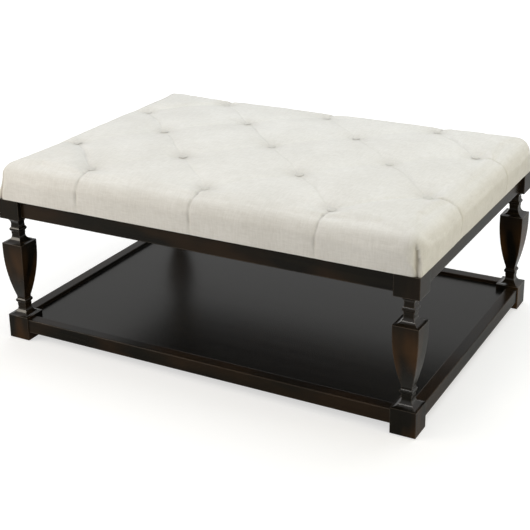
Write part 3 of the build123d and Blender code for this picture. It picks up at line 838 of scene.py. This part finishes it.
folds = {
    "longDepth": 0.0019,  # along the diagonal on which the cloth is folded over
    "shortDepth": 0.0008,
    "unevenness": 0.25,  # no two were laid alike
    "longMiddle": (0.50, 0.15),  # share of the depth halfway along, and how much it varies
    "shortMiddle": (0.12, 0),
    "width": 0.0030,
    "reach": 0.03,  # nothing of a fold is left beyond this
    "wander": 0.0036,
    "endPower": 1.6,  # how fast a fold deepens towards its ends
    "ripple": 0.2,
    "tuftShade": 0.52,  # painted shade: the linen is greyer in each tuft's pit
    "tuftShadeReach": 0.025,
    "tuftShadeStretch": 1.35,  # longer on the folded diagonal
    "pleatDepth": 0.0046,
    "pleatWidth": 0.0033,
    "pleatHollow": 0.35,  # share of the depth that spreads wide beside the fold
    "hollowWidth": 4.2,  # in fold widths
    "pleatSway": 0.35,
    "pleatFall": 0.116,  # from the edge of the top down the face
    "fallMiddle": 0.7,
    "frontDrift": 0.004,  # sideways at the edge of the top, more from pleat to pleat
    "endDrift": 0.006,
    "endFootDrift": 0.010,
    "tuckInset": 0.0075,
    "tuckLean": 0.005,  # how much further in it starts at its top
    "tuckDepth": 0.0064,
    "tuckWidth": 0.0060,
    "tuckHeight": 0.074,
    "tuckFade": 0.015,
    "tuckLap": 0.0012,  # the folded linen stands proud beside it
    "lapSoftness": 0.0012,
    "tuckFace": 0.012,  # how far in from the long face a point still takes part
    "puckers": 9,  # small folds that run out from each button
    "puckerDepth": 0.0007,
    "puckerStart": 0.012,
    "puckerReach": 0.030,
    "underButton": 0.15,  # share of the folds that is left beneath a button
    "buttonFade": 0.017,
    "footFade": 0.006,
    "slowWave": 0.0006,  # the unevenness of hand-laid wadding
    "quickWave": 0.00025,
    "shadeOnTop": 0.55,
    "shadeInTucks": 0.95,
}


def foldLines():
    # start, end, depth at the start, depth at the end, depth between, width, how much it sways
    # Odd factors such as 2.3 and 1.7, here and below, only keep the folds from being alike
    lines = []
    sway = folds["pleatSway"]
    for number, (start, end) in enumerate(tuftLinks()):
        towardsRight = (end[0] - start[0]) * (end[1] - start[1]) < 0
        full = folds["longDepth" if towardsRight else "shortDepth"]
        full *= 1 + folds["unevenness"] * sin(number * 2.3)
        share, varies = folds["longMiddle" if towardsRight else "shortMiddle"]
        middle = (share + varies * cos(number * 1.7)) * full
        lines.append((start, end, full, full, middle, folds["width"], 1.0))
    fall = folds["pleatFall"]
    pleats = []  # tuft, edge of the top, foot
    for row, side in ((tuftRows[0], -1), (tuftRows[-1], 1)):
        for k, (x, y) in enumerate(row):
            drift = folds["frontDrift"] * (k - 1) * side
            foot = (x + 1.5 * drift, side * (topHalfY + fall))
            pleats.append(((x, y), (x + drift, side * topHalfY), foot))
    for row in tuftRows[1::2]:
        for (x, y), side in ((row[0], -1), (row[-1], 1)):
            foot = (side * (topHalfX + fall), y + folds["endFootDrift"] * side)
            pleats.append(((x, y), (side * topHalfX, y + folds["endDrift"] * side), foot))
    deep, wide = folds["pleatDepth"], folds["pleatWidth"]
    for tuft, edge, foot in pleats:
        lines.append((tuft, edge, deep, deep, deep, wide, sway))
        lines.append((edge, foot, deep, 0, folds["fallMiddle"] * deep, wide, sway))
    return lines


def foldDepths(u, v):
    depth = np.zeros(len(u))
    shade = np.zeros(len(u))
    for number, (start, end, first, last, middle, width, swing) in enumerate(foldLines()):
        away, along, side = segmentDistance(u, v, start, end)
        near = away < folds["reach"]
        if not near.any():
            continue
        sway = swing * folds["wander"] * np.sin(along * pi) * np.sin(along * 7.3 + number * 1.7)
        off = np.hypot(side[near] + sway[near], np.sqrt(np.maximum(away[near] ** 2 - side[near] ** 2, 0)))
        t = along[near]
        ends = first * (1 - t) + last * t
        strength = middle + (ends - middle) * np.abs(2 * t - 1) ** folds["endPower"]
        strength = strength * (1 - folds["ripple"] + folds["ripple"] * np.sin(t * 17 + number * 2.9))
        hollow = folds["pleatHollow"] * np.exp(-(off / (folds["hollowWidth"] * width)) ** 2)
        groove = strength * (np.exp(-(off / width) ** 2) + hollow)
        # Painted shade along the fold, stronger where the fold is deeper
        shadeTone = strength / folds["pleatDepth"] * np.exp(-(off / (0.75 * width)) ** 2)
        depth[near] = np.maximum(depth[near], groove)
        shade[near] = np.maximum(shade[near], shadeTone)
    return depth, shade


def paintedTuftShade(u, v):
    # Painted shade in each tuft's pit, fading outwards
    marks = np.zeros(len(u))
    for number, (x, y) in enumerate(tufts):
        along, across = (u - x - v + y) / sqrt(2), (u - x + v - y) / sqrt(2)
        away = np.hypot(along / folds["tuftShadeStretch"], across)
        tone = folds["tuftShade"] * (1 + 0.2 * sin(number * 1.9))
        marks = np.maximum(marks, tone * np.exp(-(away / folds["tuftShadeReach"]) ** 2))
    return marks


def puckers(u, v):
    depth = np.zeros(len(u))
    for number, (x, y) in enumerate(tufts):
        away = np.hypot(u - x, v - y)
        near = away < 3 * folds["puckerReach"]
        angle = np.arctan2(v[near] - y, u[near] - x)
        wave = np.cos(folds["puckers"] * angle + number * 2.1) + 0.5 * np.cos(5 * angle + number)
        reach = np.exp(-((away[near] - folds["puckerStart"]) / folds["puckerReach"]) ** 2)
        depth[near] += folds["puckerDepth"] * wave * reach
    return depth


def cornerTucks(points):
    # The linen of the ends comes round each corner and is tucked in on the long faces
    x, y, z = points.T
    depth = np.zeros(len(points))
    shade = np.zeros(len(points))
    longFace = np.abs(y) > halfDepth - folds["tuckFace"]
    top = footLevel + folds["tuckHeight"]
    for side in (-1, 1):
        lean = folds["tuckLean"] * (z - footLevel) / folds["tuckHeight"]
        off = side * x - (halfLength - folds["tuckInset"]) + lean
        fade = np.clip((top - z) / folds["tuckFade"], 0, 1)
        groove = folds["tuckDepth"] * np.exp(-(off / folds["tuckWidth"]) ** 2)
        lap = -folds["tuckLap"] / (1 + np.exp(-off / folds["lapSoftness"]))
        # Painted shade in the tuck's groove
        shadeTone = fade * np.exp(-(off / (0.8 * folds["tuckWidth"])) ** 2)
        depth = np.where(longFace, depth + (groove + lap) * fade, depth)
        shade = np.where(longFace, np.maximum(shade, shadeTone), shade)
    return depth, shade


def softWaves(u, v):
    # The numbers only keep the waves from falling in step
    slow = np.sin(u * 23 + 1.3 * np.sin(v * 17)) * np.sin(v * 29 + 1.1 * np.sin(u * 13 + 2))
    quick = np.sin(u * 61 + 2 * np.sin(v * 43)) * np.sin(v * 71 + 1.7 * np.sin(u * 37 + 1))
    return folds["slowWave"] * slow + folds["quickWave"] * quick


def closeUnderside(piece, ring):
    # The linen turns under the board, and the stuffing ends on top of it
    mesh = bmesh.new()
    mesh.from_mesh(piece.data)
    hem, inset = cushion["turnedUnder"], cushion["hemInset"]
    clear = cushion["boardGap"]
    hemLevel = footLevel + cushion["hemLift"]
    rows = [
        (halfLength - inset, halfDepth - inset, hemLevel),
        (halfLength - hem, halfDepth - hem, hemLevel),
        (halfLength - hem, halfDepth - hem, boardLow.z - clear),
        (boardHigh.x + clear, boardHigh.y + clear, boardLow.z - clear),
        (boardHigh.x + clear, boardHigh.y + clear, boardHigh.z + clear),
    ]
    mesh.verts.ensure_lookup_table()
    foot = [mesh.verts[k] for k in range(ring)]
    previous = foot
    for halfX, halfY, level in rows:
        scaleX, scaleY = halfX / halfLength, halfY / halfDepth
        row = [mesh.verts.new((vert.co.x * scaleX, vert.co.y * scaleY, level)) for vert in foot]
        for k in range(ring):
            nextK = (k + 1) % ring
            mesh.faces.new((row[k], row[nextK], previous[nextK], previous[k]))
        previous = row
    mesh.faces.new(previous)
    mesh.to_mesh(piece.data)
    mesh.free()


def makeCushion():
    points, faces, ring = buildSkin()
    piece = meshObject("linenCushion", points, faces)
    outward = readNormals(piece.data)
    depth = sinkTufts(*flatPlace(points))
    room = stuffingRoom(points)
    depth = depth + stuffing["slackShare"] * room
    writePoints(piece.data, points - outward * depth[:, None])
    stuffCushion(piece, room)
    smoother = piece.modifiers.new("finer", "SUBSURF")
    smoother.levels = smoother.render_levels = 1
    bakeModifiers(piece)
    points = readPoints(piece.data)
    u, v = flatPlace(points)
    creases, shade = foldDepths(u, v)
    tucks, tuckShade = cornerTucks(points)
    fromButton = (tuftDistance(points) - cushion["buttonSeat"]) / folds["buttonFade"]
    fromButton = np.clip(fromButton, folds["underButton"], 1)
    depth = (creases + puckers(u, v)) * fromButton + tucks + softWaves(u, v)
    held = np.clip((points[:, 2] - footLevel) / folds["footFade"], 0, 1)
    depth = np.where(depth > 0, depth, depth * held)
    writePoints(piece.data, points - readNormals(piece.data) * depth[:, None])
    closeUnderside(piece, ring)
    total = len(piece.data.vertices)
    # Painted shade of the folds, tuft pits and tucks, stored for the linen's colour
    shadeTone = np.maximum(shade, paintedTuftShade(u, v)) * folds["shadeOnTop"]
    shadeTone = np.maximum(shadeTone, tuckShade * folds["shadeInTucks"])
    values = np.zeros(total, np.float32)
    values[:len(shadeTone)] = np.clip(shadeTone, 0, 1)
    marks = piece.data.attributes.new("paintedShade", "FLOAT", "POINT")
    marks.data.foreach_set("value", values)
    piece.data.shade_smooth()
    piece.data.materials.append(topLinen)
    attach(piece, "root")
    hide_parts("tufted_cover", "foam_pad")
    print("cushion made:", total, "points")


makeCushion()


# Buttons: small domes covered with the same linen

button = {
    "radius": 0.0102,
    "rim": 0.0004,
    "dome": 0.0022,
    "shank": 0.0020,  # the knot under the button, down to the twine
    "shankShare": 0.10,  # of the radius
    "backShare": 0.86,
    "lift": 0.0002,  # above the bottom of the tuft
    "gathers": 7,  # how many times the linen is gathered round the rim
    "gatherDepth": 0.012,
    "gatherFrom": 0.8,
    "slopeReach": 0.002,  # over which the slope of the crown is taken
    "around": 28,
    "rows": 7,
}


def buttonPlane(x, y):
    reach = button["slopeReach"]
    level = float(crownLevel(np.array([x]), np.array([y]))[0])
    slopeX = float(crownLevel(np.array([x + reach]), np.array([y]))[0] - level) / reach
    slopeY = float(crownLevel(np.array([x]), np.array([y + reach]))[0] - level) / reach
    normal = Vector((-slopeX, -slopeY, 1)).normalized()
    return Vector((x, y, level)), normal


def buttonOutline():
    # Share of the radius and height, from the foot of the shank up over the rim
    rim, dome, rows = button["rim"], button["dome"], button["rows"]
    stem, back = button["shankShare"], button["backShare"]
    outline = [(stem, -button["shank"]), (stem, 0.0), (back, 0.0), (1.0, rim)]
    for k in range(1, rows):
        angle = pi / 2 * k / rows
        outline.append((cos(angle), rim + (dome - rim) * sin(angle) ** 2))
    return outline


def makeButtons():
    points, faces = [], []
    around = button["around"]
    outline = buttonOutline()
    for number, (x, y) in enumerate(tufts):
        middle, normal = buttonPlane(x, y)
        seat = middle - normal * (cushion["tuftDepth"] - button["lift"])
        turn = normal.to_track_quat("Z", "Y").to_matrix()
        first = len(points)
        for share, rise in outline:
            gathered = button["gatherDepth"] * (share > button["gatherFrom"])
            for k in range(around):
                angle = 2 * pi * k / around + number
                out = share * button["radius"] * (1 + gathered * cos(button["gathers"] * angle))
                points.append(tuple(seat + turn @ Vector((out * cos(angle), out * sin(angle), rise))))
        for row in range(len(outline) - 1):
            faces += ringFaces(first + row * around, first + (row + 1) * around, around)
        crown = len(points)
        points.append(tuple(seat + turn @ Vector((0, 0, button["dome"]))))
        high = first + (len(outline) - 1) * around
        for k in range(around):
            faces.append((high + k, high + (k + 1) % around, crown))
        faces.append(tuple(first + k for k in reversed(range(around))))
    piece = meshObject("coveredButtons", points, faces)
    piece.data.materials.append(shadedButtonLinen)
    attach(piece, "root")
    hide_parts("tuft_buttons")
    print("buttons made:", len(tufts))


makeButtons()


# Dust cover: a thin black cloth stapled across the underside

dustCover = {
    "step": 0.012,
    "sag": 0.0035,
    "wrinkle": 0.0004,
    "thickness": 0.0006,
}

dustLow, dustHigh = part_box("dust_cover")


def cutCorner():
    # How much of each corner the cloth leaves out, read from the node
    points = readPoints(nodes["dust_cover"].data)
    reach = (points[:, 0] + points[:, 1]).max()
    return dustHigh.x + dustHigh.y - reach


def makeDustCover():
    cut = cutCorner()
    halfX, halfY = dustHigh.x, dustHigh.y
    countX = round(2 * halfX / dustCover["step"])
    countY = round(2 * halfY / dustCover["step"])
    level = (dustLow.z + dustHigh.z) / 2
    points = []
    for row in range(countY + 1):
        for column in range(countX + 1):
            x = (2 * column / countX - 1) * halfX
            y = (2 * row / countY - 1) * halfY
            over = abs(x) + abs(y) - (halfX + halfY - cut)
            if over > 0:  # draw the point in to the cut corner
                x -= np.sign(x) * over / 2
                y -= np.sign(y) * over / 2
            share = max(0, 1 - (x / halfX) ** 2) * max(0, 1 - (y / halfY) ** 2)
            wrinkle = dustCover["wrinkle"] * sin(x * 41 + 3 * sin(y * 19)) * share
            points.append((x, y, level - dustCover["sag"] * share - wrinkle))
    piece = meshObject("dustCoverCloth", points, gridFaces(0, countX, countY))
    thick = piece.modifiers.new("thickness", "SOLIDIFY")
    thick.thickness = dustCover["thickness"]
    thick.offset = 0
    bakeModifiers(piece)
    piece.data.materials.clear()
    piece.data.materials.append(underCloth)
    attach(piece, "root")
    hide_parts("dust_cover")
    print("dust cover made")


makeDustCover()


# Staples round the dust cover, each a bent wire driven up into the board

staple = {
    "width": 0.010,
    "wire": 0.0011,
    "gap": 0.075,
    "inset": 0.007,
    "lean": 0.16,
    "pressedIn": 0.45,  # of the wire, into the cloth
    # along in half widths, and up in wires
    "bend": [(-1.0, 1.6), (-1.0, 0.4), (-0.92, 0.0), (0.92, 0.0), (1.0, 0.4), (1.0, 1.6)],
    "section": [(-0.5, -0.3), (0.5, -0.3), (0.5, 0.3), (-0.5, 0.3)],  # in wires
}


def staplePlaces():
    # The middle of each staple, and the way it lies
    inset, gap = staple["inset"], staple["gap"]
    cut = cutCorner()
    places = []
    for half, across, turned in ((dustHigh.x, dustHigh.y, False), (dustHigh.y, dustHigh.x, True)):
        run = half - cut - inset
        count = round(2 * run / gap)
        for k in range(count + 1):
            along = -run + 2 * run * k / count
            for side in (-1, 1):
                lean = staple["lean"] * sin(5.1 * k + side + 2 * turned)
                spot = (side * (across - inset), along) if turned else (along, side * (across - inset))
                places.append((spot, lean + (pi / 2 if turned else 0)))
    return places


def makeStaples():
    half, wire, bend = staple["width"] / 2, staple["wire"], staple["bend"]
    low = (dustLow.z + dustHigh.z) / 2 - dustCover["thickness"] / 2 - staple["pressedIn"] * wire
    points, faces = [], []
    for (x, y), turn in staplePlaces():
        first = len(points)
        for share, rise in bend:
            for out, up in staple["section"]:
                along, over = share * (half - up * wire * (rise > 0)), out * wire
                points.append((x + along * cos(turn) - over * sin(turn),
                               y + along * sin(turn) + over * cos(turn),
                               low + (rise + up) * wire))
        for row in range(len(bend) - 1):
            faces += ringFaces(first + 4 * row, first + 4 * (row + 1), 4)
        faces.append((first + 3, first + 2, first + 1, first))
        last = first + 4 * (len(bend) - 1)
        faces.append((last, last + 1, last + 2, last + 3))
    piece = meshObject("dustCoverStaples", points, faces, smooth=False)
    piece.data.materials.append(stapleSteel)
    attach(piece, "root")
    print("staples made:", len(points) // (4 * len(bend)))


makeStaples()


# Floor

def makeFloor():
    half = studio["floorHalf"]
    corners = [(-half, -half, 0), (half, -half, 0), (half, half, 0), (-half, half, 0)]
    floor = meshObject("studioFloor", corners, [(0, 1, 2, 3)], smooth=False)
    material, tree, shader = startMaterial("paleFloor", roughness=0.9, specular=0.0)
    shader.inputs["Base Color"].default_value = studio["floorTone"]
    glow = addNode(tree, "ShaderNodeEmission")
    fromMiddle = [(0, stretched(tree, (1, 1, 1)))]
    away = addNode(tree, "ShaderNodeVectorMath", fromMiddle, operation="LENGTH").outputs["Value"]
    lift = spread(tree, away, studio["liftFrom"], studio["liftTo"], studio["floorLift"], 1.0)
    tree.links.new(combine(tree, "MULTIPLY", lift, backdropShare(tree)), glow.inputs["Strength"])
    both = addNode(tree, "ShaderNodeAddShader", [(0, shader.outputs[0]), (1, glow.outputs[0])])
    tree.links.new(both.outputs[0], tree.nodes["Material Output"].inputs["Surface"])
    floor.data.materials.append(material)
    print("floor laid")


makeFloor()
